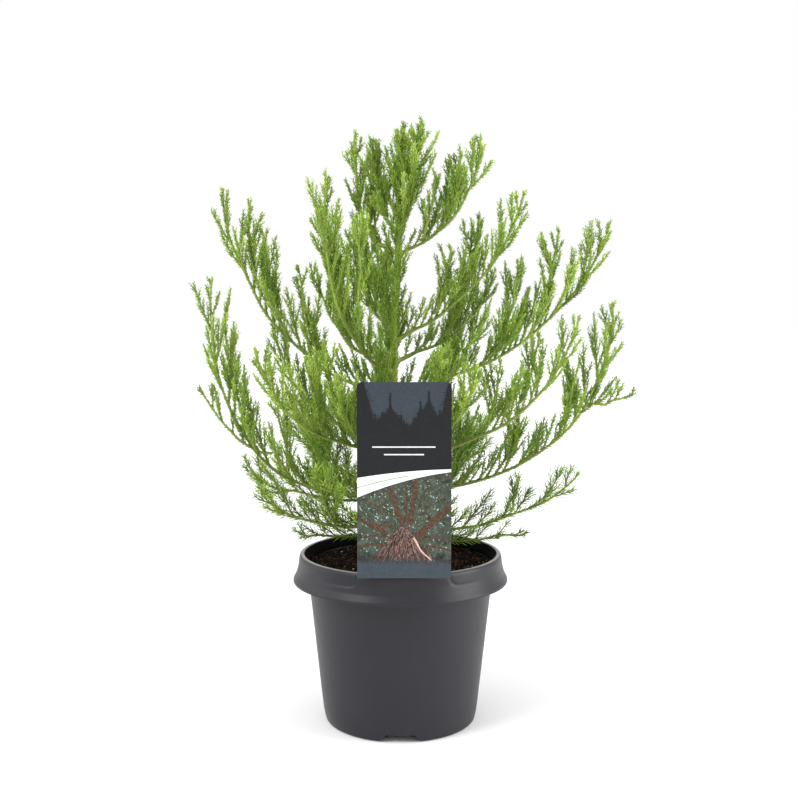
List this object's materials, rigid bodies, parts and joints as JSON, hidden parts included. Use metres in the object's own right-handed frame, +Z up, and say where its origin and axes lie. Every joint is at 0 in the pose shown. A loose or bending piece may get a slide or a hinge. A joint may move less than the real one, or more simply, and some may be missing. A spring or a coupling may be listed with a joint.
{
  "type": "potted sequoia tree",
  "caption": "Young giant sequoia tree in a nursery pot, with open sprays of upswept evergreen shoots on curved boughs, bare soil and a printed plant label on the rim.",
  "frame": {"origin": "middle of the pot's flat underside", "axes": "+Z up along the pot's axis; -Y is the side the label faces; +X is to the right of that side"},
  "size_m": [0.3896, 0.2828, 0.5239],
  "materials": {
    "pot_plastic": "satin slate grey polypropylene",
    "soil": "moist crumbly potting mix",
    "bark": "green young bark, finely ridged",
    "bough_bark": "green shoot bark with small scales",
    "foliage": "matt evergreen leaves",
    "label_print": "printed satin plastic card",
    "label_plastic": "white satin plastic"
  },
  "bodies": {
    "root": {"pot": "pot_plastic", "soil": "soil", "trunk": "bark", "label_card": "label_print", "label_stake": "label_plastic", "bough_front_left": "bough_bark", "bough_front_right": "bough_bark", "bough_high_back": "bough_bark", "bough_high_back_left": "bough_bark", "bough_high_back_right": "bough_bark", "bough_high_front_left": "bough_bark", "bough_high_right": "bough_bark", "bough_low_back_left": "bough_bark", "bough_low_back_right": "bough_bark", "bough_low_left": "bough_bark", "bough_low_right": "bough_bark", "bough_lowest_back": "bough_bark", "bough_lowest_left": "bough_bark", "bough_lowest_left_front": "bough_bark", "bough_lowest_right": "bough_bark", "bough_middle_back": "bough_bark", "bough_middle_back_right": "bough_bark", "bough_middle_left_back": "bough_bark", "bough_middle_left_front": "bough_bark", "bough_middle_right": "bough_bark", "bough_outer_left": "bough_bark", "bough_outer_right": "bough_bark", "bough_top_left": "bough_bark", "bough_top_right": "bough_bark", "bough_upper_front": "bough_bark", "bough_upper_left": "bough_bark", "bough_upper_right": "bough_bark", "foliage_front_left": "foliage", "foliage_front_right": "foliage", "foliage_high_back": "foliage", "foliage_high_back_left": "foliage", "foliage_high_back_right": "foliage", "foliage_high_front_left": "foliage", "foliage_high_right": "foliage", "foliage_leader": "foliage", "foliage_low_back_left": "foliage", "foliage_low_back_right": "foliage", "foliage_low_left": "foliage", "foliage_low_right": "foliage", "foliage_lowest_back": "foliage", "foliage_lowest_left": "foliage", "foliage_lowest_left_front": "foliage", "foliage_lowest_right": "foliage", "foliage_middle_back": "foliage", "foliage_middle_back_right": "foliage", "foliage_middle_left_back": "foliage", "foliage_middle_left_front": "foliage", "foliage_middle_right": "foliage", "foliage_outer_left": "foliage", "foliage_outer_right": "foliage", "foliage_top_left": "foliage", "foliage_top_right": "foliage", "foliage_upper_front": "foliage", "foliage_upper_left": "foliage", "foliage_upper_right": "foliage"}
  },
  "joints": []
}
